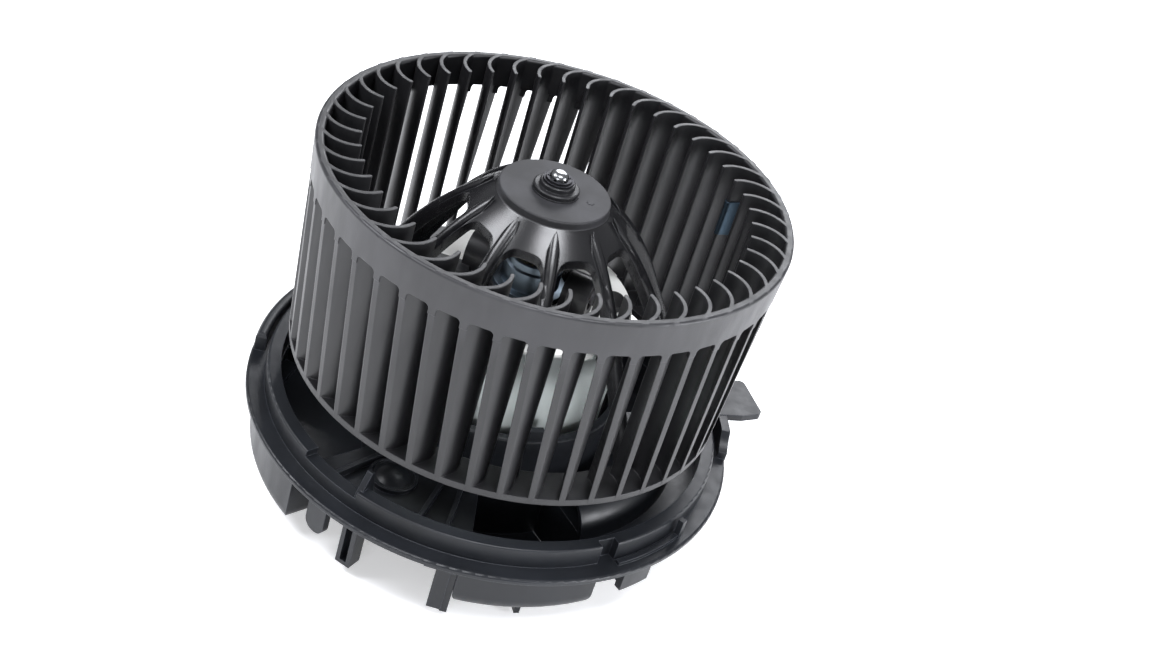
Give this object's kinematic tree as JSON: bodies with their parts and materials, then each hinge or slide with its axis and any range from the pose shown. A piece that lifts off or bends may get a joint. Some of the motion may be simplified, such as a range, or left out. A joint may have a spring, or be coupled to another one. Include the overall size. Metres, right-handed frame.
{
  "type": "blower motor wheel",
  "caption": "Squirrel-cage fan wheel with curved blades on a brush motor, held in a round flanged base with a twist-lock spigot, cooling duct and locking handle.",
  "frame": {"origin": "on the shaft axis, in the plane of the flange's underside", "axes": "+Z along the shaft from the motor to the wheel's open end; +X to the right of the pictured side, +Y away from it"},
  "size_m": [0.1706, 0.163, 0.1215],
  "materials": {
    "wheel_plastic": "satin, moulded",
    "base_plastic": "satin, moulded",
    "card_plastic": "satin, moulded",
    "cover_plastic": "satin, moulded",
    "connector_plastic": "satin, moulded",
    "washer_plastic": "smooth",
    "collar_plastic": "smooth",
    "insulating_sleeve": "smooth",
    "zinc_plated_steel": "zinc plated",
    "spring_steel": "bright",
    "clip_steel": "blued",
    "cup_steel": "zinc plated",
    "core_steel": "stacked sheets",
    "screw_steel": "zinc plated",
    "shaft_steel": "ground",
    "bush_brass": "turned",
    "tube_brass": "pressed",
    "sintered_bronze": "porous",
    "copper": "turned",
    "enamelled_copper": "enamelled",
    "tinned_copper": "tinned",
    "ferrite": "sintered",
    "brush_carbon": "pressed",
    "capacitor_coat": "dipped",
    "fuse_case": "drawn",
    "red_insulation": "smooth",
    "black_insulation": "smooth",
    "isolator_rubber": "matt"
  },
  "bodies": {
    "stator": {"motor_can": "zinc_plated_steel", "end_plate": "zinc_plated_steel", "field_magnets": "ferrite", "magnet_springs": "spring_steel", "rear_bearing": "sintered_bronze", "front_bearing": "sintered_bronze", "bearing_cup": "cup_steel", "bearing_retainer": "spring_steel", "brush_card": "card_plastic", "brush_tube_right": "tube_brass", "brush_tube_left": "tube_brass", "brush_spring_right": "spring_steel", "brush_spring_left": "spring_steel", "choke_cores": "ferrite", "choke_windings": "enamelled_copper", "suppressor_capacitor": "capacitor_coat", "thermal_fuse": "fuse_case", "lead_red": "red_insulation", "lead_black": "black_insulation", "base_housing": "base_plastic", "isolator_pads": "isolator_rubber", "isolator_ring": "isolator_rubber", "rear_cover": "cover_plastic", "cover_screws": "screw_steel", "connector_shell": "connector_plastic", "terminal_blades": "tinned_copper"},
    "rotor": {"fan_wheel": "wheel_plastic", "balance_clip": "clip_steel", "hub_bush": "bush_brass", "hub_collar": "collar_plastic", "hub_washer": "spring_steel", "retaining_clip": "spring_steel", "motor_shaft": "shaft_steel", "armature_core": "core_steel", "armature_winding": "enamelled_copper", "commutator_sleeve": "insulating_sleeve", "commutator_bars": "copper", "thrust_washers": "washer_plastic"},
    "brush_right": {"carbon_brush_right": "brush_carbon"},
    "brush_left": {"carbon_brush_left": "brush_carbon"}
  },
  "joints": [
    {"name": "rotor_spin", "type": "hinge", "parent": "stator", "child": "rotor", "pos_m": [0, 0, 0], "axis": [0, 0, 1], "continuous": true},
    {"name": "brush_right_slide", "type": "slide", "parent": "stator", "child": "brush_right", "axis": [0.9848, -0.1736, 0], "range_m": [0, 0.003], "deforming": ["brush_spring_right"]},
    {"name": "brush_left_slide", "type": "slide", "parent": "stator", "child": "brush_left", "axis": [-0.9848, 0.1736, 0], "range_m": [0, 0.003], "deforming": ["brush_spring_left"]}
  ]
}
